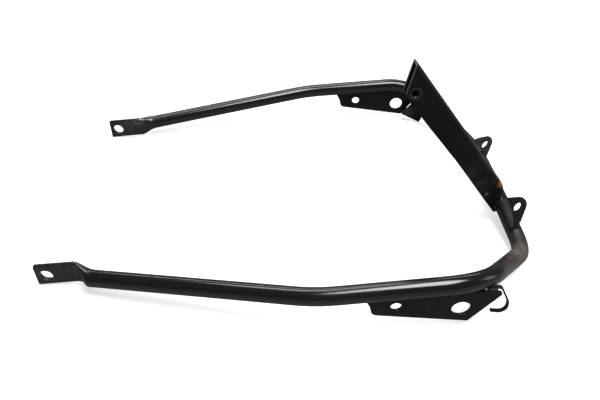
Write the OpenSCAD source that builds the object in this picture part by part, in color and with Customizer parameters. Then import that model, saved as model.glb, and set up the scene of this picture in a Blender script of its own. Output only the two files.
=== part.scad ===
// Rear subframe of a motorcycle: one bent tube loop with flattened, bolted ends,
// a holed gusset under each arm, a folded channel stay that rises forward from the
// rear cross tube, two mounting ears, a strip hook and a small lower tab, all welded.
// Millimetres. The loop is laid out with X rearwards from the axis of the end bolts,
// Y to the rider's right and Z up, and is then set down on its own lowest points.

/* [Tube] */
// Outside diameter of the loop tube
tube_od = 14; // [12:0.5:16]
// Wall of the loop tube
tube_wall = 1.8; // [1:0.1:3]

/* [Loop layout] */
// Height of the tube's axis above the bolt datum where the straight arms begin
arm_start_z = 13.6; // [12:0.1:15]
// Distance from the bolt axis to where the round arms begin
arm_start_x = 40; // [38:1:46]
// Half the span between the arms there
arm_start_span = 124.4; // [120:0.1:128]
// Distance from the bolt axis to the bend half way along each arm
mid_x = 214.8; // [200:0.1:230]
// Half the span between the arms at that bend
mid_span = 163.4; // [155:0.1:172]
// Height of the axis at that bend
mid_z = 29.7; // [26:0.1:34]
// Radius of that bend
mid_bend = 130; // [90:5:180]
// Distance from the bolt axis to the bend behind the gussets
rear_x = 335; // [330:0.1:345]
// Half the span between the arms at that bend
rear_span = 160.3; // [156:0.1:166]
// Height of the axis at that bend
rear_z = 39.2; // [36:0.1:42]
// Radius of that bend
rear_bend = 52; // [40:1:60]
// Distance from the bolt axis to the low rear corners
corner_x = 395.4; // [390:0.1:402]
// Half the distance between the rear corners
corner_span = 87.7; // [82:0.1:94]
// Height of the axis at the rear corners
corner_z = 0.4; // [-4:0.1:6]
// Radius of the rear corners
corner_bend = 29; // [22:1:34]
// Distance from the bolt axis to the raised cross tube
cross_x = 389.6; // [386:0.1:394]
// Half the length of the raised cross tube
cross_span = 31.4; // [26:0.1:36]
// Height of the axis along the raised cross tube
cross_z = 13.6; // [9:0.1:18]
// Radius of the slight bends at its two ends
cross_bend = 70; // [50:5:90]

/* [Flattened ends] */
// Half the span between the flattened ends, at mid thickness
end_span = 115.7; // [112:0.1:119]
// Thickness of a flattened end, two walls pressed together
end_t = 4; // [3:0.1:5]
// Height of a flattened end
end_h = 20.7; // [18:0.1:22]
// Length of a flattened end in front of the bolt axis
end_nose = 8.4; // [7.5:0.1:12]
// Length of the flat behind the bolt axis, up to where the tube opens out
end_flat = 24; // [18:1:28]
// Angle at which a flattened end rises rearwards
end_rise = 4.6; // [0:0.1:7]
// Radius of its two front corners
end_corner = 2; // [0.5:0.5:4]
// Diameter of the end bolt holes
end_hole = 11; // [8:0.1:12]
// Distance of the end bolt holes below the middle of the flat
end_hole_drop = 0.7; // [0:0.1:3]

/* [Gussets] */
// Thickness of the gusset plates
gusset_t = 2.5; // [1.5:0.1:4]
// Length from the bend behind the gusset to its front edge
gusset_len = 81; // [76:1:90]
// Distance of the front lower corner from that bend
gusset_front_low = 76; // [72:1:84]
// Height of the front lower corner above the datum
gusset_front_z = 9; // [6:0.5:12]
// Distance of the lowest corner in front of that bend
gusset_low = 6.3; // [3:0.1:10]
// Length of the free tail behind the bend
gusset_tail = 14.5; // [10:0.5:20]
// Height of the tail's lower end
gusset_tail_z = 26.7; // [24:0.1:28]
// Height of the tail's blunt end edge
gusset_tail_edge = 2.1; // [1:0.1:4]
// Diameter of the large hole
gusset_big_hole = 14.4; // [10:0.1:18]
// Distance of the large hole in front of the bend
gusset_big_x = 13.1; // [11:0.1:16]
// Height of the large hole
gusset_big_z = 13.6; // [12:0.1:16]
// Diameter of the small hole
gusset_small_hole = 8.6; // [6:0.1:11]
// Distance of the small hole in front of the bend
gusset_small_x = 61.6; // [55:0.1:65]
// Height of the small hole
gusset_small_z = 17.8; // [15:0.1:20]

/* [Channel stay] */
// Thickness of the folded sheet
stay_t = 2; // [1.2:0.1:2.5]
// Outside width across the two flanges
stay_w = 13; // [11:0.5:20]
// Outer face of the left flange, left of the middle
stay_side = 40; // [38:0.5:46]
// Distance from the bolt axis to the top corner of the stay
stay_top_x = 295.5; // [285:0.5:305]
// Height of the top corner
stay_top_z = 151.8; // [140:0.1:160]
// Angle of the stay below the horizontal
stay_lean = 52.3; // [49:0.1:55]
// Depth of the flanges near the top
stay_depth_top = 21.8; // [19:0.1:26]
// Depth of the flanges at mid length
stay_depth_mid = 20; // [18:0.1:24]
// Depth of the flanges at the tube
stay_depth_foot = 20.5; // [18:0.1:24]
// Length of the web, which stops short of the tube
stay_web_len = 148; // [130:1:154]
// Angle between the slanted top cut and the web
stay_top_cut = 50.8; // [45:0.1:70]
// Outside radius of the two folds
stay_fold = 2.6; // [2.2:0.1:4]
// Distance of the insert down the stay from the top corner
insert_down = 20.5; // [18:0.1:26]
// Depth of the insert below the web's outer face
insert_depth = 14.1; // [12:0.1:15]
// Thread diameter of the insert
insert_bore = 5.2; // [4:0.1:6]
// Diameter of the insert's shank
insert_shank = 8; // [7:0.1:9]
// Diameter of the insert's rim
insert_rim = 11.4; // [10:0.1:13]
// Thickness of the rim
insert_rim_t = 0.9; // [0.5:0.1:1.5]
// Width of the chamfer at the mouth of the thread
insert_chamfer = 0.8; // [0.3:0.1:1]
// Length of the shank inside the stay
insert_len = 7; // [4:0.5:8]

/* [Mounting ears] */
// Thickness of the pressed ears
ear_t = 2.2; // [1.5:0.1:3]
// Distance from the bolt axis to the ear holes
ear_x = 397.1; // [394:0.1:400]
// Half the distance between the ear holes
ear_span = 52.2; // [50:0.1:54]
// Height of the ear holes
ear_z = 21.4; // [20:0.1:24]
// Angle at which the ears lean back from the vertical
ear_lean = 37; // [30:0.5:44]
// Diameter of the ear holes
ear_hole = 8.6; // [6:0.1:10]
// Distance from the hole to the round tip
ear_reach = 9.2; // [8:0.1:12]
// Radius of the round tip
ear_tip = 10; // [9:0.5:12]
// Slope of the ear's two flanks
ear_flank = 47; // [40:1:55]
// Reach of the ear's base towards the middle of the cross tube
ear_in = 16.2; // [15:0.1:18]
// Reach of the ear's base towards the corner
ear_out = 19.8; // [17:0.1:21]
// Gap between the left ear's wrapped foot and the stay
foot_gap = 0.2; // [0.1:0.1:1]
// Angle in front of the vertical where the foot ends
foot_front = 44; // [30:1:55]

/* [Strip hook] */
// Width of the strip
hook_w = 2.8; // [2:0.1:5]
// Thickness of the strip
hook_t = 1.5; // [1.2:0.1:2]
// Drop from the tube's axis at the bend to the hook's stem
hook_drop = 7.7; // [7:0.1:9]
// Distance behind the bend of the hook's outermost run
hook_out = 22.7; // [20:0.1:26]
// Height of the hook's lower bend
hook_low = 4.6; // [2:0.1:8]
// Distance of the hook's tip behind the bend
hook_tip = 11; // [8:0.1:13]

/* [Lower tab] */
// Thickness of the tab under the right arm
tab_t = 2.5; // [1.5:0.1:3]
// Distance of the tab inside the bend behind the gusset
tab_in = 10.3; // [8:0.1:13]
// Distance of the tab's front corner in front of that bend
tab_front = 7.8; // [6:0.1:10]
// Drop from the tube's axis at that bend to the front corner
tab_drop = 33.6; // [30:0.1:36]
// Length of the tab along its slanted lower edge
tab_len = 25.2; // [22:0.1:28]
// Slope of that edge
tab_slant = 27.2; // [24:0.1:32]
// Length of the tab's upper part
tab_deep = 25; // [22:0.5:28]
// Width of the tab's blunt low end
tab_blunt = 5.2; // [3:0.1:8]
// Drop from the tube's axis at the bend to where the tab meets the tube
tab_top_drop = 13.9; // [12:0.1:15]

/* [Welds] */
// Radius of the weld beads
bead = 1.5; // [1:0.1:2]
// Length of each stitch along the gussets
stitch = 13; // [10:1:22]
// Distance from one stitch to the next
stitch_pitch = 19; // [15:0.5:20]
// Length of each stitch behind the ears
ear_stitch = 10; // [6:0.5:12]
// Length of each bead's tapered end
bead_taper = 1.2; // [0.5:0.1:2]
// Clearance round the insert's shank
fit_gap = 0.1; // [0.05:0.05:0.2]

/* [Hidden] */

paint = [0.13, 0.13, 0.14];
steel = [0.55, 0.54, 0.52];
round_fn = 64;
sweep_fn = 192;
bead_fn = 32;
tube_r = tube_od / 2;
bore_r = tube_r - tube_wall;
up = [0, 0, 1];
// Each straight laps into its bends by this length with a tapered tip, and is thicker by this much.
lap = 0.3;
proud = 0.02;

// Corners of the right half of the loop, from the flattened end to the middle.
arm_start = [arm_start_x, arm_start_span, arm_start_z];
route = [arm_start,
         [mid_x, mid_span, mid_z],
         [rear_x, rear_span, rear_z],
         [corner_x, corner_span, corner_z],
         [cross_x, cross_span, cross_z],
         [cross_x, -cross_span, cross_z]];
bends = [0, mid_bend, rear_bend, corner_bend, cross_bend, 0];

function unit(v) = v / norm(v);
function mix(a, b, t) = a + (b - a) * t;
function smooth(t) = t * t * (3 - 2 * t);

// Bend i of the route: its turn, the length of each tangent and the centre of its arc.
function turn(i) = acos(unit(route[i] - route[i - 1]) * unit(route[i + 1] - route[i]));
function tangent(i) = bends[i] == 0 ? 0 : bends[i] * tan(turn(i) / 2);
function bend_in(i) = route[i] + unit(route[i - 1] - route[i]) * tangent(i);
function bend_out(i) = route[i] + unit(route[i + 1] - route[i]) * tangent(i);
function bend_centre(i) =
    route[i] + unit(unit(route[i - 1] - route[i]) + unit(route[i + 1] - route[i]))
    * bends[i] / cos(turn(i) / 2);
function bend_axis(i) = unit(cross(bend_in(i) - bend_centre(i), route[i] - route[i - 1]));

end_middle_z = end_h / 2 + end_nose * tan(end_rise);
rest_front_x = end_corner - end_nose;

ear_end = [ear_x + ear_reach * sin(ear_lean) + ear_t / 2 * cos(ear_lean), 0,
           ear_z + ear_reach * cos(ear_lean) - ear_t / 2 * sin(ear_lean)];

// Points of an outline whose corners are rounded to the radii given with them.
function corner_arc(p, q, s, r) =
    let (a = unit(p - q), b = unit(s - q), half = acos(a * b) / 2,
         c = q + unit(a + b) * r / sin(half), start = q + a * r / tan(half) - c,
         side = sign(cross(q - p, s - q)), steps = max(2, ceil((180 - 2 * half) / 12)))
    [for (k = [0:steps])
        let (w = side * (180 - 2 * half) * k / steps)
        c + [start.x * cos(w) - start.y * sin(w), start.x * sin(w) + start.y * cos(w)]];
function rounded(points, radii) =
    let (n = len(points))
    [for (i = [0:n - 1], p = radii[i] == 0 ? [points[i]]
        : corner_arc(points[(i + n - 1) % n], points[i], points[(i + 1) % n], radii[i])) p];

// A straight of the tube between two points, with tips that lap into its neighbours.
module rod(p, q, r) {
    d = q - p;
    n = norm(d);
    w = r + proud;
    translate(p)
        rotate([0, acos(d.z / n), atan2(d.y, d.x)])
            rotate_extrude($fn = round_fn)
                polygon([[0, -lap], [w - lap, -lap], [w, 0], [w, n], [w - lap, n + lap], [0, n + lap]]);
}

// Turns the frame so that its Z lies along w and its X along u.
module aligned(at, u, w) {
    b = acos(w.z);
    c = atan2(w.y, w.x);
    x0 = [cos(b) * cos(c), cos(b) * sin(c), -sin(b)];
    y0 = [-sin(c), cos(c), 0];
    translate(at)
        rotate([0, b, c])
            rotate([0, 0, atan2(u * y0, u * x0)])
                children();
}

// Bend i as part of a ring, which ends inside both of its neighbours.
module elbow(i, r) {
    more = lap / bends[i] * 180 / PI;
    aligned(bend_centre(i), unit(bend_in(i) - bend_centre(i)), bend_axis(i))
        rotate([0, 0, -more])
            rotate_extrude(angle = turn(i) + 2 * more, $fn = sweep_fn)
                translate([bends[i], 0])
                    circle(r, $fn = round_fn);
}

// One half of the loop as a rod of the given radius, from corner first to the middle.
module half_run(r, first) {
    for (i = [first:3])
        rod(bend_out(i), bend_in(i + 1), r);
    for (i = [max(1, first):4])
        elbow(i, r);
}

module both_sides() {
    children();
    mirror([0, 1, 0])
        children();
}

module cross_run(r) {
    rod(bend_out(4), [bend_out(4).x, -bend_out(4).y, bend_out(4).z], r);
}

// The parts of the loop that a plate or bead is cut to fit.
module rear_arm_form() {
    half_run(tube_r, 1);
}

module rear_cross_form() {
    both_sides()
        half_run(tube_r, 3);
    cross_run(tube_r);
}

// Section of the pressed tube: two half rounds of radius w joined by flats, h high.
module pressed_section(h, w) {
    square([h - 2 * w, 2 * w], center = true);
    for (s = [-1, 1])
        translate([s * (h / 2 - w), 0])
            circle(w, $fn = round_fn);
}

opening_steps = 7;
opening_arc = 16;
opening_proud = 0.1;
end_dir = [cos(end_rise), 0, sin(end_rise)];
arm_dir = unit(route[1] - route[0]);
flat_end = [end_flat, end_span, end_middle_z + end_flat * tan(end_rise)];

// Ring of half width w and half height h about a point, square to d.
function ring(at, d, w, h) =
    let (side = unit(cross(up, d)), rise = cross(d, side))
    [for (e = [1, -1], j = [0:opening_arc])
        let (a = 180 * j / opening_arc - 90)
        at + side * w * sin(a) * e + rise * e * (h - w + w * cos(a))];

// Ring k of the stretch where the pressed end opens out into the round arm.
function opening_ring(k) =
    let (t = k / opening_steps, s = smooth(t),
         at = [mix(flat_end.x, arm_start.x, t), mix(flat_end.y, arm_start.y, s),
               mix(flat_end.z, arm_start.z, s)])
    ring(at, unit(mix(end_dir, arm_dir, s)), mix(end_t / 2, tube_r, s) + opening_proud,
         mix(end_h / 2, tube_r, s) + 2 * opening_proud);

// The first and last rings are smaller and lie inside the flat and the arm.
module opening_out() {
    rings = concat(
        [ring(flat_end - end_dir * lap, end_dir, end_t / 2 - lap, end_h / 2 - lap)],
        [for (k = [0:opening_steps]) opening_ring(k)],
        [ring(arm_start + arm_dir * lap, arm_dir, tube_r - lap, tube_r - lap + opening_proud)]);
    n = len(rings[0]);
    m = len(rings) - 1;
    polyhedron(
        points = [for (r = rings, p = r) p],
        faces = concat(
            [[for (j = [n - 1:-1:0]) j]],
            [for (k = [0:m - 1], j = [0:n - 1])
                [k * n + j, k * n + (j + 1) % n, (k + 1) * n + (j + 1) % n, (k + 1) * n + j]],
            [[for (j = [0:n - 1]) m * n + j]]));
}

// The pressed flat, cut square at the nose with two small round corners.
module pressed_end() {
    high = end_h + 12;
    intersection() {
        translate(flat_end)
            rotate([0, -90 - end_rise, 0])
                translate([0, 0, -lap])
                    linear_extrude(height = end_flat + 2 * end_nose)
                        pressed_section(end_h, end_t / 2);
        translate([0, end_span + end_t, 0])
            rotate([90, 0, 0])
                linear_extrude(height = 2 * end_t)
                    polygon(rounded(
                        [[-end_nose, 0], [end_flat + end_t, (end_flat + end_t) * tan(end_rise)],
                         [end_flat + end_t, high], [-end_nose, end_h]],
                        [end_corner, 0, 0, end_corner]));
    }
}

module end_bolt_hole() {
    translate([0, end_span, end_middle_z - end_hole_drop])
        rotate([90, 0, 0])
            cylinder(d = end_hole, h = 4 * end_t, center = true, $fn = round_fn);
}

module loop_tube() {
    color(paint)
        difference() {
            union() {
                both_sides() {
                    pressed_end();
                    opening_out();
                    half_run(tube_r, 0);
                }
                cross_run(tube_r);
            }
            both_sides()
                half_run(bore_r, 0);
            cross_run(bore_r);
            both_sides()
                end_bolt_hole();
        }
}

// Upright plane of the right arm: X from the bend behind the gusset, Z from the datum.
module on_arm_plane() {
    translate([rear_x, rear_span, 0])
        rotate([0, 0, atan2(rear_span - mid_span, rear_x - mid_x)])
            children();
}

module upright_plate(t) {
    rotate([90, 0, 0])
        linear_extrude(height = t, center = true)
            children();
}

module upright_hole(x, z, d) {
    translate([x, 0, z])
        rotate([90, 0, 0])
            cylinder(d = d, h = 4 * gusset_t, center = true, $fn = round_fn);
}

gusset_outline = rounded(
    [[-gusset_len - 7, rear_z - tube_r], [-gusset_len, gusset_front_z + 10],
     [-gusset_front_low - 3, gusset_front_z + 1], [-gusset_low, 0],
     [gusset_tail, gusset_tail_z], [gusset_tail, gusset_tail_z + gusset_tail_edge],
     [0, rear_z - tube_r - 1]],
    [0, 8, 5, 1.5, 0.5, 0.5, 0]);

module gusset() {
    color(paint)
        difference() {
            on_arm_plane()
                difference() {
                    upright_plate(gusset_t)
                        polygon(gusset_outline);
                    upright_hole(-gusset_big_x, gusset_big_z, gusset_big_hole);
                    upright_hole(-gusset_small_x, gusset_small_z, gusset_small_hole);
                }
            rear_arm_form();
        }
}

module right_gusset() {
    gusset();
}

module left_gusset() {
    mirror([0, 1, 0])
        gusset();
}

// A straight bead between two points, tapered at both ends.
module bead_run(p, q) {
    d = q - p;
    n = norm(d);
    translate(p)
        rotate([0, acos(d.z / n), atan2(d.y, d.x)])
            rotate_extrude($fn = round_fn)
                polygon([[0, 0], [bead / 3, 0], [bead, bead_taper], [bead, n - bead_taper],
                         [bead / 3, n], [0, n]]);
}

// Stitches between the arm and both faces of its gusset.
module gusset_beads() {
    arm = unit(route[2] - route[1]);
    color(paint)
        difference() {
            for (k = [0:2], s = [-1, 1])
                let (back = gusset_len - 2 - k * stitch_pitch, side = unit(cross(up, arm)), down = cross(arm, side),
                     p = route[2] - arm * back + side * s * gusset_t / 2
                         - down * sqrt(tube_r ^ 2 - gusset_t ^ 2 / 4))
                    bead_run(p, p + arm * stitch);
            rear_arm_form();
            on_arm_plane()
                upright_plate(gusset_t)
                    polygon(gusset_outline);
        }
}

module right_gusset_welds() {
    gusset_beads();
}

module left_gusset_welds() {
    mirror([0, 1, 0])
        gusset_beads();
}

// Frame of the stay: X down its length, Z out of the web, Y across it.
module on_stay() {
    translate([stay_top_x, -stay_side, stay_top_z])
        rotate([0, stay_lean, 0])
            children();
}

// Where the cross tube's axis lies in that frame, at the left flange.
foot_run = corner_span - cross_span;
foot_t = (stay_side - cross_span) / foot_run;
foot_axis = [mix(cross_x, corner_x, foot_t), mix(cross_z, corner_z, foot_t)]
            - [stay_top_x, stay_top_z];
foot_bead_from = 100;
foot_bead_to = 212;
foot_s = foot_axis.x * cos(stay_lean) - foot_axis.y * sin(stay_lean);
foot_d = -foot_axis.x * sin(stay_lean) - foot_axis.y * cos(stay_lean);

stay_outline = rounded(
    [[0, 0], [stay_depth_top / tan(stay_top_cut), -stay_depth_top],
     [stay_depth_top * 2, -stay_depth_top + 0.4], [100, -stay_depth_mid],
     [foot_s, -stay_depth_foot], [foot_s, -foot_d],
     [foot_s - tube_r, -foot_d], [stay_web_len, 0]],
    [0.8, 9, 60, 60, 1, 0, 0, 0]);

module stay_profile(w, r) {
    translate([r, -r])
        circle(r, $fn = bead_fn);
    translate([w - r, -r])
        circle(r, $fn = bead_fn);
    translate([r, -2 * r])
        square([w - 2 * r, 2 * r]);
    translate([0, -2 * stay_depth_top])
        square([w, 2 * stay_depth_top - r]);
}

module channel_stay() {
    color(paint)
        difference() {
            on_stay()
                difference() {
                    intersection() {
                        translate([0, stay_w, 0])
                            rotate([90, 0, 0])
                                linear_extrude(height = stay_w)
                                    polygon(stay_outline);
                        translate([-stay_w, 0, 0])
                            rotate([90, 0, 90])
                                linear_extrude(height = foot_s + 2 * stay_w)
                                    difference() {
                                        stay_profile(stay_w, stay_fold);
                                        translate([stay_t, -stay_t])
                                            stay_profile(stay_w - 2 * stay_t, stay_fold - stay_t);
                                    }
                    }
                    translate([insert_down, stay_t / 2, -insert_depth])
                        rotate([90, 0, 0])
                            cylinder(d = insert_shank + 2 * fit_gap, h = 2 * stay_t,
                                     center = true, $fn = round_fn);
                }
            rear_cross_form();
        }
}

module threaded_insert() {
    color(steel)
        on_stay()
            translate([insert_down, 0, -insert_depth])
                rotate([-90, 0, 0])
                    rotate_extrude($fn = round_fn)
                        polygon([[insert_bore / 2 + insert_chamfer, -insert_rim_t],
                                 [insert_rim / 2, -insert_rim_t], [insert_rim / 2, 0],
                                 [insert_shank / 2, 0], [insert_shank / 2, stay_t + insert_len],
                                 [insert_bore / 2, stay_t + insert_len],
                                 [insert_bore / 2, insert_chamfer - insert_rim_t]]);
}

// Beads round the cross tube on the outer face of each flange of the stay.
module stay_welds() {
    color(paint)
        difference() {
            for (y = [0, stay_w])
                let (across = y - stay_side, t = max(0, (abs(across) - cross_span) / foot_run),
                     from = y == 0 ? foot_front + 96 : foot_bead_from)
                    translate([mix(cross_x, corner_x, t), across, mix(cross_z, corner_z, t)])
                        rotate([90, 0, 0])
                            rotate([0, 0, from])
                                rotate_extrude(angle = foot_bead_to - from, $fn = sweep_fn)
                                    translate([tube_r + bead / 4, 0])
                                        circle(bead, $fn = round_fn);
            rear_cross_form();
            on_stay()
                translate([0, stay_w, 0])
                    rotate([90, 0, 0])
                        linear_extrude(height = stay_w)
                            polygon(stay_outline);
        }
}

// Frame of the right ear: Y outwards from its hole, Z up its leaning face.
module on_ear() {
    translate([ear_x, ear_span, ear_z])
        rotate([0, ear_lean, 0])
            children();
}

module face_on(t) {
    rotate([90, 0, 90])
        linear_extrude(height = t, center = true)
            children();
}

ear_apex = ear_reach + ear_tip * (1 / cos(ear_flank) - 1);
ear_up = [sin(ear_lean), 0, cos(ear_lean)];
slope = unit(route[3] - route[4]);

// Point of the tube's axis at a distance across, and its height on the ear's face.
function axis_at(across) = route[4] + slope * ((across - cross_span) / slope.y);
function axis_up(y) = (axis_at(ear_span + y) - [ear_x, ear_span, ear_z]) * ear_up;
ear_outline = rounded(
    [[-ear_in, ear_apex - ear_in * tan(ear_flank)], [0, ear_apex],
     [ear_out - 3.4, ear_apex - (ear_out - 3.4) * tan(ear_flank)],
     [ear_out, axis_up(ear_out)], [-ear_in, axis_up(-ear_in)]],
    [0, ear_tip, 3, 0, 0]);
foot_in = ear_span - stay_side - foot_gap;
foot_outline = rounded(
    [[-foot_in, 0], [-foot_in, axis_up(-foot_in) - tube_r], [ear_out - 1.5, axis_up(ear_out) - tube_r],
     [ear_out - 1.5, 0]],
    [0, 2, 1, 0]);

// The pressed ear: a flat face that stands on the tube and a foot wrapped over it.
module ear_blank() {
    buried = 10;
    on_ear()
        face_on(ear_t)
            polygon(ear_outline);
    intersection() {
        aligned(route[4], -up, slope)
            rotate([0, 0, 180 - foot_front])
                rotate_extrude(angle = foot_front + buried, $fn = round_fn)
                    square([tube_r + ear_t, norm(route[3] - route[4])]);
        on_ear()
            face_on(8 * tube_od)
                polygon(foot_outline);
    }
}

module ear() {
    color(paint)
        difference() {
            ear_blank();
            rear_cross_form();
            on_ear()
                rotate([0, 90, 0])
                    cylinder(d = ear_hole, h = 4 * ear_t, center = true, $fn = round_fn);
        }
}

module right_ear() {
    ear();
}

module left_ear() {
    mirror([0, 1, 0])
        ear();
}

// Point where the ear's back face meets the tube, at a distance outwards from the hole.
function ear_seam(y) =
    let (at = axis_at(ear_span + y), back = [cos(ear_lean), 0, -sin(ear_lean)],
         off = ear_t / 2 - (at - [ear_x, ear_span, ear_z]) * back)
    at + back * off + ear_up * sqrt(tube_r ^ 2 - off ^ 2);

// Two stitches behind the ear, along that seam.
module ear_bead() {
    color(paint)
        difference() {
            for (y = [-ear_stitch - 1, 1])
                bead_run(ear_seam(y), ear_seam(y + ear_stitch));
            rear_cross_form();
            ear_blank();
        }
}

module right_ear_weld() {
    ear_bead();
}

module left_ear_weld() {
    mirror([0, 1, 0])
        ear_bead();
}

// The strip's route beside the left gusset's inner face, seen from the side.
hook_top = rear_z - hook_drop;
hook_start = 3;
hook_shoulder = 14.5;
hook_route = [[hook_start, hook_top + 0.3], [hook_shoulder, hook_top], [hook_out, hook_top / 2],
              [hook_out, hook_low], [hook_tip, hook_low + 2]];
hook_bends = [0, 4, 12, 5.5, 0];

function left_of(points, i) =
    let (n = len(points), a = points[max(0, i - 1)], b = points[min(n - 1, i + 1)], d = unit(b - a))
    [-d.y, d.x];

module strip(points, t) {
    n = len(points);
    polygon(concat(
        [for (i = [0:n - 1]) points[i] + left_of(points, i) * t / 2],
        [for (i = [n - 1:-1:0]) points[i] - left_of(points, i) * t / 2]));
}

function bent(points, radii) =
    [for (i = [0:len(points) - 1], p = radii[i] == 0 ? [points[i]]
        : corner_arc(points[i - 1], points[i], points[i + 1], radii[i])) p];

module strip_hook() {
    color(paint)
        mirror([0, 1, 0])
            difference() {
                on_arm_plane()
                    translate([0, -(gusset_t + hook_w) / 2, 0])
                        upright_plate(hook_w)
                            strip(bent(hook_route, hook_bends), hook_t);
                rear_arm_form();
            }
}

// Bead between the hook's stem, the gusset's tail and the tube.
module hook_weld() {
    color(paint)
        mirror([0, 1, 0])
            difference() {
                on_arm_plane()
                    bead_run([hook_start + 1, -gusset_t / 2, hook_top - hook_t],
                             [hook_start + 9, -gusset_t / 2, hook_top - hook_t - 0.5]);
                rear_arm_form();
                on_arm_plane() {
                    upright_plate(gusset_t)
                        polygon(gusset_outline);
                    translate([0, -(gusset_t + hook_w) / 2, 0])
                        upright_plate(hook_w)
                            strip(bent(hook_route, hook_bends), hook_t);
                }
            }
}

// The lower tab stands upright, and its free edge slants down and back.
tab_span = rear_span - tab_in;
tab_front_x = rear_x - tab_front;
tab_front_z = rear_z - tab_drop;
tab_top_z = rear_z - tab_top_drop;
tab_rear_x = tab_front_x + tab_deep;
tab_outline =
    let (front = [tab_front_x, tab_front_z],
         low = front + tab_len * [cos(tab_slant), -sin(tab_slant)])
    rounded([front, low, low + tab_blunt * [sin(tab_slant), cos(tab_slant)],
             [tab_rear_x, tab_top_z - 1.3], [tab_rear_x - 7, tab_top_z + 5.7],
             [tab_rear_x - 11.2, tab_top_z + 5.7], [tab_rear_x - 13.7, tab_top_z - 7.8]],
            [1, 1.5, 1, 1, 0, 0, 3]);
tab_low_z = min([for (p = tab_outline) p.y]);
tab_low = [for (p = tab_outline) if (p.y == tab_low_z) p][0];

module tab_plate() {
    translate([0, tab_span, 0])
        upright_plate(tab_t)
            polygon(tab_outline);
}

module lower_tab() {
    color(paint)
        difference() {
            tab_plate();
            rear_arm_form();
        }
}

// Beads where the tab's two faces meet the underside of the tube.
module tab_weld() {
    color(paint)
        difference() {
            for (s = [-1, 1])
                bead_run([tab_rear_x - 11.5, tab_span + s * tab_t / 2, tab_top_z],
                         [tab_rear_x - 4, tab_span + s * tab_t / 2, tab_top_z]);
            rear_arm_form();
            tab_plate();
        }
}

// Sets the part down on its two flattened ends and the low corner of the tab.
lie = atan2(-tab_low.y, tab_low.x - rest_front_x);
function laid_x(p) = p.x * cos(lie) - p.z * sin(lie);
middle_x = (laid_x(ear_end) + laid_x([-end_nose, 0, end_h - end_corner])) / 2;
module at_rest() {
    translate([-middle_x, 0, -rest_front_x * sin(lie)])
        rotate([0, -lie, 0])
            children();
}

at_rest() loop_tube();
at_rest() left_gusset();
at_rest() right_gusset();
at_rest() channel_stay();
at_rest() threaded_insert();
at_rest() left_ear();
at_rest() right_ear();
at_rest() strip_hook();
at_rest() lower_tab();
at_rest() left_gusset_welds();
at_rest() right_gusset_welds();
at_rest() left_ear_weld();
at_rest() right_ear_weld();
at_rest() stay_welds();
at_rest() hook_weld();
at_rest() tab_weld();
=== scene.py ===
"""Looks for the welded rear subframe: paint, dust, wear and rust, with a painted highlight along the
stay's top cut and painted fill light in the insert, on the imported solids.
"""
import math

import bpy
from mathutils import Matrix, Vector

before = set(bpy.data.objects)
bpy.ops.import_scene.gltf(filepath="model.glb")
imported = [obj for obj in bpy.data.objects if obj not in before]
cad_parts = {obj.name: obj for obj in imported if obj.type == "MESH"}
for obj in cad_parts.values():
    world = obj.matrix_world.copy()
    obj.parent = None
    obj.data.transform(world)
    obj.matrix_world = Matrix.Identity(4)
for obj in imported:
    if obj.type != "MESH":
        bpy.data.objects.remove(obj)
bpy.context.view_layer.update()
scene = bpy.context.scene

# Placement of the part's layout frame in the row frame, in metres and radians.
LIE = math.radians(0.869922)
MIDDLE_X = 0.197180
LIFT = 0.0000972


def turned(v):
    """A direction of the layout frame, in the row frame."""
    x, y, z = v
    return Vector((x * math.cos(LIE) - z * math.sin(LIE), y, x * math.sin(LIE) + z * math.cos(LIE)))


def placed(x, y, z):
    """A point of the layout frame, given in millimetres, in the row frame in metres."""
    p = turned((x / 1000, y / 1000, z / 1000))
    return Vector((p.x - MIDDLE_X, p.y, p.z + LIFT))


# Camera -------------------------------------------------------------------

def make_camera():
    phi, psi, rho = math.radians(37.54), math.radians(0.136), math.radians(-0.843)
    look = Vector((math.sin(psi) * math.cos(phi), math.cos(psi) * math.cos(phi), -math.sin(phi)))
    right = Vector((math.cos(psi), -math.sin(psi), 0))
    up = right.cross(look)
    right, up = (right * math.cos(rho) + up * math.sin(rho),
                 up * math.cos(rho) - right * math.sin(rho))
    right, up, look = turned(right), turned(up), turned(look)
    data = bpy.data.cameras.new("camera")
    data.sensor_width = 36.0
    data.lens = 550.46 * 36.0 / 600
    cam = bpy.data.objects.new("camera", data)
    rot = Matrix((right, up, -look)).transposed().to_4x4()
    cam.matrix_world = Matrix.Translation(placed(203.8, -433.2, 325.5)) @ rot
    scene.collection.objects.link(cam)
    scene.camera = cam


# Node helpers -------------------------------------------------------------

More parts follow.
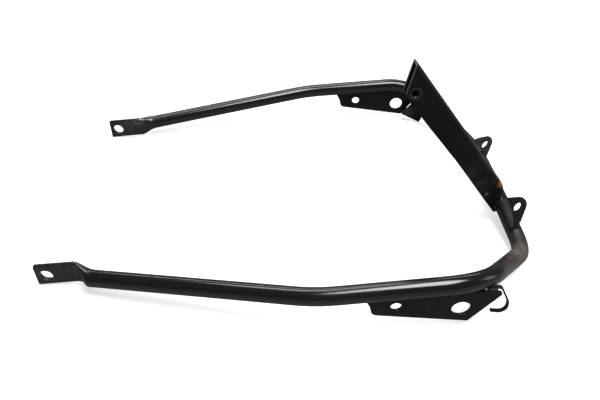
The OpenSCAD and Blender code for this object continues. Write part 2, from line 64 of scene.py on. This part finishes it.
class Graph:
    """Small helper that adds nodes and links to one material."""

    def __init__(self, name):
        self.mat = bpy.data.materials.new(name)
        self.mat.use_nodes = True
        self.nodes = self.mat.node_tree.nodes
        self.links = self.mat.node_tree.links
        self.nodes.clear()
        self.coord = self.nodes.new("ShaderNodeTexCoord").outputs["Object"]

    def link(self, value, socket):
        if isinstance(value, bpy.types.NodeSocket):
            self.links.new(value, socket)
        else:
            socket.default_value = value

    def noise(self, scale, detail=3.0, rough=0.55, offset=(0, 0, 0), stretch=(1, 1, 1)):
        m = self.nodes.new("ShaderNodeMapping")
        m.inputs["Location"].default_value = offset
        m.inputs["Scale"].default_value = stretch
        self.links.new(self.coord, m.inputs["Vector"])
        n = self.nodes.new("ShaderNodeTexNoise")
        n.inputs["Scale"].default_value = scale
        n.inputs["Detail"].default_value = detail
        n.inputs["Roughness"].default_value = rough
        self.links.new(m.outputs["Vector"], n.inputs["Vector"])
        return n.outputs["Fac"]

    def span(self, value, low, high, to_low=0.0, to_high=1.0):
        n = self.nodes.new("ShaderNodeMapRange")
        n.interpolation_type = "SMOOTHSTEP"
        self.link(value, n.inputs["Value"])
        for key, v in (("From Min", low), ("From Max", high), ("To Min", to_low), ("To Max", to_high)):
            n.inputs[key].default_value = v
        return n.outputs["Result"]

    def math(self, op, a, b=0.0):
        n = self.nodes.new("ShaderNodeMath")
        n.operation = op
        self.link(a, n.inputs[0])
        self.link(b, n.inputs[1])
        return n.outputs[0]

    def mul(self, a, b):
        return self.math("MULTIPLY", a, b)

    def near(self, point, full, fade, squeeze=(1, 1, 1)):
        """1 within full metres of a point, falling to 0 at fade metres."""
        sub = self.nodes.new("ShaderNodeVectorMath")
        sub.operation = "SUBTRACT"
        self.links.new(self.coord, sub.inputs[0])
        sub.inputs[1].default_value = point
        scale = self.nodes.new("ShaderNodeVectorMath")
        scale.operation = "MULTIPLY"
        self.links.new(sub.outputs[0], scale.inputs[0])
        scale.inputs[1].default_value = squeeze
        size = self.nodes.new("ShaderNodeVectorMath")
        size.operation = "LENGTH"
        self.links.new(scale.outputs[0], size.inputs[0])
        return self.span(size.outputs["Value"], full, fade, 1.0, 0.0)

    def slab(self, point, normal, full, fade):
        """1 within full metres of the plane through a point, falling to 0 at fade metres."""
        sub = self.nodes.new("ShaderNodeVectorMath")
        sub.operation = "SUBTRACT"
        self.links.new(self.coord, sub.inputs[0])
        sub.inputs[1].default_value = point
        dot = self.nodes.new("ShaderNodeVectorMath")
        dot.operation = "DOT_PRODUCT"
        self.links.new(sub.outputs[0], dot.inputs[0])
        dot.inputs[1].default_value = normal
        return self.span(self.math("ABSOLUTE", dot.outputs["Value"]), full, fade, 1.0, 0.0)

    def mix(self, fac, a, b):
        n = self.nodes.new("ShaderNodeMix")
        n.data_type = "RGBA"
        self.link(fac, n.inputs[0])
        self.link((*a, 1) if isinstance(a, tuple) else a, n.inputs[6])
        self.link((*b, 1) if isinstance(b, tuple) else b, n.inputs[7])
        return n.outputs[2]

    def blend(self, fac, a, b):
        n = self.nodes.new("ShaderNodeMix")
        n.data_type = "FLOAT"
        self.link(fac, n.inputs[0])
        self.link(a, n.inputs[2])
        self.link(b, n.inputs[3])
        return n.outputs[0]

    def bump(self, height, strength, distance, normal=None):
        n = self.nodes.new("ShaderNodeBump")
        n.inputs["Strength"].default_value = strength
        n.inputs["Distance"].default_value = distance
        self.link(height, n.inputs["Height"])
        if normal is not None:
            self.links.new(normal, n.inputs["Normal"])
        return n.outputs["Normal"]

    def surface(self, color, rough, normal, shine):
        out = self.nodes.new("ShaderNodeOutputMaterial")
        p = self.nodes.new("ShaderNodeBsdfPrincipled")
        self.link((*color, 1) if isinstance(color, tuple) else color, p.inputs["Base Color"])
        self.link(rough, p.inputs["Roughness"])
        p.inputs["Specular IOR Level"].default_value = shine
        self.links.new(normal, p.inputs["Normal"])
        self.links.new(p.outputs[0], out.inputs[0])
        return self.mat


BLACK = (0.0045, 0.0043, 0.0042)
DUST = (0.034, 0.030, 0.026)
GREY_WORN = (0.135, 0.122, 0.112)
BROWN_DUST = (0.060, 0.038, 0.025)
RUST = (0.36, 0.16, 0.060)
DARK_RUST = (0.090, 0.042, 0.020)
# Light bare-metal grey, used for real paint chips and also for the painted highlight along the stay's top
# cut.
CHIP_AND_HIGHLIGHT = (0.36, 0.33, 0.30)


def paint(name, dust=0.25, grain=0.0, marks=(), rough=0.30, shine=0.35, seed=0.0, base=BLACK):
    """Black paint with dust and marks: (kind, point, full, fade, amount, squeeze) each; one kind paints a
    highlight band about the plane through its point, with squeeze as the plane's normal.
    """
    g = Graph(name)
    off = (seed, seed * 0.7, seed * 1.3)
    cloud = g.noise(16, 4, 0.6, off)
    speck = g.noise(260, 3, 0.6, off)
    fine = g.noise(900, 2, 0.5, off)
    long_marks = g.noise(60, 3, 0.6, off, (0.25, 1.0, 2.2))
    dusty = g.mul(g.span(cloud, 0.42, 0.75), dust)
    dusty = g.math("ADD", dusty, g.mul(g.span(speck, 0.56, 0.74), dust * 0.55))
    color = g.mix(dusty, base, DUST)
    roughness = g.blend(dusty, g.blend(long_marks, rough - 0.04, rough + 0.06), 0.7)
    for kind, point, full, fade, amount, squeeze in marks:
        # This kind paints a light band about a plane: a painted highlight.
        if kind == "edge":
            reach = g.mul(g.slab(point, squeeze, full, fade), amount)
        else:
            reach = g.mul(g.near(point, full, fade, squeeze), amount)
        if kind == "worn":
            m = g.mul(reach, g.span(g.noise(70, 4, 0.7, off), 0.30, 0.62))
            color = g.mix(m, color, g.mix(g.span(speck, 0.40, 0.66), GREY_WORN, (0.055, 0.048, 0.042)))
            roughness = g.blend(m, roughness, 0.62)
        elif kind == "dull":
            roughness = g.blend(reach, roughness, 0.55)
        elif kind == "brown":
            m = g.mul(reach, g.span(g.noise(90, 4, 0.7, off), 0.34, 0.66))
            color = g.mix(m, color, BROWN_DUST)
            roughness = g.blend(m, roughness, 0.75)
        elif kind == "rust":
            m = g.mul(reach, g.span(g.noise(260, 5, 0.7, off), 0.34, 0.46))
            color = g.mix(m, color, g.mix(g.span(g.noise(520, 3, 0.6, off), 0.36, 0.62), DARK_RUST, RUST))
            roughness = g.blend(m, roughness, 0.9)
        elif kind == "chip":
            m = g.mul(reach, g.span(g.noise(360, 3, 0.6, off), 0.50, 0.56))
            color = g.mix(m, color, CHIP_AND_HIGHLIGHT)
            roughness = g.blend(m, roughness, 0.5)
        # The remaining kind is the plane band: a painted highlight in the light chip grey.
        else:
            m = g.mul(reach, g.span(g.noise(300, 2, 0.5, off), 0.20, 0.40))
            color = g.mix(m, color, CHIP_AND_HIGHLIGHT)
            roughness = g.blend(m, roughness, 0.4)
    height = g.math("ADD", g.mul(fine, 0.35 + grain), g.mul(speck, 0.5))
    normal = g.bump(height, 0.012 + grain * 0.45, 0.0006)
    return g.surface(color, roughness, normal, shine)


# Materials on the solids --------------------------------------------------

ROUND = (1, 1, 1)
CORNER = placed(384, -107, 5)
# Normal of the stay's top cut, for the painted highlight band along it.
TOP_CUT = turned((0.974, 0, -0.227))
materials = {
    "loop_tube": paint(
        "paint_tube", dust=0.10, rough=0.15, shine=0.60,
        marks=[("worn", CORNER, 0.012, 0.028, 0.90, ROUND), ("brown", CORNER, 0.010, 0.036, 0.35, ROUND),
               ("dull", placed(390, -84, 6), 0.028, 0.050, 0.9, ROUND),
               ("brown", placed(370, -120, 16), 0.010, 0.034, 0.55, ROUND),
               ("worn", placed(12, 116, 14), 0.004, 0.020, 0.30, ROUND),
               ("worn", placed(8, -116, 12), 0.01, 0.04, 0.20, ROUND),
               ("brown", placed(391, -95, 2), 0.004, 0.030, 0.30, ROUND),
               ("chip", placed(24, 117, 21), 0.001, 0.010, 0.55, ROUND)]),
    "channel_stay": paint(
        "paint_stay", dust=0.14, grain=0.10, rough=0.42, shine=0.22, seed=3.1,
        marks=[("brown", placed(362, -40, 46), 0.008, 0.032, 0.55, ROUND),
               ("brown", placed(388, -37, 28), 0.003, 0.011, 0.9, ROUND),
               ("rust", placed(383.5, -37.5, 37), 0.0020, 0.0058, 1.0, ROUND),
               ("chip", placed(373.5, -40, 25.5), 0.0006, 0.0045, 0.45, ROUND),
               # Painted highlight: a thin light band along the stay's top cut, where light catches it.
               ("edge", placed(295.5, -40, 151.8), 0.0002, 0.0008, 0.28, TOP_CUT)]),
    "left_gusset": paint("paint_left_gusset", dust=0.38, grain=0.10, rough=0.42, shine=0.22, seed=5.0,
                         marks=[("brown", placed(285, -163, 22), 0.020, 0.050, 0.45, ROUND)]),
    "right_gusset": paint("paint_right_gusset", dust=0.28, grain=0.10, rough=0.40, shine=0.22, seed=6.0,
                          marks=[("brown", placed(345, 160, 28), 0.006, 0.020, 0.40, ROUND)]),
    "left_ear": paint("paint_left_ear", dust=0.30, grain=0.5, rough=0.48, shine=0.22, seed=7.0,
                      base=(0.010, 0.0097, 0.0095)),
    "right_ear": paint("paint_right_ear", dust=0.32, grain=0.5, rough=0.45, shine=0.35, seed=8.0,
                       base=(0.014, 0.0135, 0.013)),
    "strip_hook": paint("paint_hook", dust=0.12, rough=0.35, shine=0.35, seed=9.0),
    "lower_tab": paint("paint_tab", dust=0.20, grain=0.2, rough=0.45, shine=0.25, seed=10.0,
                       marks=[("worn", placed(336, 149, 9), 0.003, 0.010, 0.35, ROUND)]),
    # Base colour lifted above the black paint so the insert's shaded bore reads dark grey instead of
    # black: painted fill light.
    "threaded_insert": paint("paint_insert_painted_fill", dust=0.15, grain=0.1, rough=0.36, shine=0.40, seed=11.0,
                             base=(0.014, 0.0137, 0.0133)),
}
weld = paint("paint_weld", dust=0.22, grain=0.6, rough=0.42, shine=0.30, seed=12.0,
             marks=[("brown", placed(388, -41, 16), 0.006, 0.018, 0.35, ROUND)])
for name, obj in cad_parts.items():
    mat = materials.get(name, weld)
    for s in obj.material_slots:
        s.material = mat


# Floor, lights and world --------------------------------------------------

def make_stage():
    import bmesh
    bm = bmesh.new()
    bmesh.ops.create_grid(bm, x_segments=8, y_segments=8, size=6)
    mesh = bpy.data.meshes.new("floor")
    bm.to_mesh(mesh)
    bm.free()
    floor = bpy.data.objects.new("floor", mesh)
    floor.location = (0, 0, -0.0002)
    scene.collection.objects.link(floor)
    g = Graph("floor_white")
    out = g.nodes.new("ShaderNodeOutputMaterial")
    diff = g.nodes.new("ShaderNodeBsdfDiffuse")
    glow = g.nodes.new("ShaderNodeEmission")
    glow.inputs["Color"].default_value = (1, 1, 1, 1)
    path = g.nodes.new("ShaderNodeLightPath")
    seen = path.outputs["Is Camera Ray"]
    g.link(g.mix(seen, (0.26, 0.26, 0.26), (0.72, 0.72, 0.72)), diff.inputs["Color"])
    far = g.math("SUBTRACT", 1.0, g.near((0, 0, 0), 0.45, 1.3))
    g.link(g.mul(seen, g.blend(far, 0.55, 1.0)), glow.inputs["Strength"])
    add = g.nodes.new("ShaderNodeAddShader")
    g.links.new(diff.outputs[0], add.inputs[0])
    g.links.new(glow.outputs[0], add.inputs[1])
    g.links.new(add.outputs[0], out.inputs[0])
    floor.data.materials.append(g.mat)


def area(name, where, aim, size, power, size_y=None):
    data = bpy.data.lights.new(name, "AREA")
    data.shape = "RECTANGLE"
    data.size = size
    data.size_y = size_y or size
    data.energy = power
    lamp = bpy.data.objects.new(name, data)
    lamp.location = where
    lamp.rotation_euler = (Vector(aim) - Vector(where)).to_track_quat("-Z", "Y").to_euler()
    scene.collection.objects.link(lamp)


def make_lights():
    area("strip_back", (0.0, 1.15, 0.85), (0, 0.16, 0), 1.8, 5.0, 0.12)
    area("softbox_top", (0.30, -0.30, 1.35), (0.10, -0.16, 0), 0.85, 24.0, 0.66)
    area("softbox_far", (-0.20, 0.55, 1.20), (0, 0.1, 0), 0.8, 5.0, 0.30)
    area("softbox_rear", (1.50, -0.15, 0.55), (0.15, 0, 0.05), 0.5, 1.8, 0.7)
    world = bpy.data.worlds.new("world")
    scene.world = world
    world.use_nodes = True
    n, k = world.node_tree.nodes, world.node_tree.links
    n.clear()
    out = n.new("ShaderNodeOutputWorld")
    back = n.new("ShaderNodeBackground")
    back.inputs["Color"].default_value = (1, 1, 1, 1)
    path = n.new("ShaderNodeLightPath")
    level = n.new("ShaderNodeMix")
    level.data_type = "FLOAT"
    k.new(path.outputs["Is Camera Ray"], level.inputs[0])
    level.inputs[2].default_value = 0.14
    level.inputs[3].default_value = 1.0
    k.new(level.outputs[0], back.inputs["Strength"])
    k.new(back.outputs[0], out.inputs[0])


make_camera()
make_stage()
make_lights()
scene.view_settings.view_transform = "Standard"
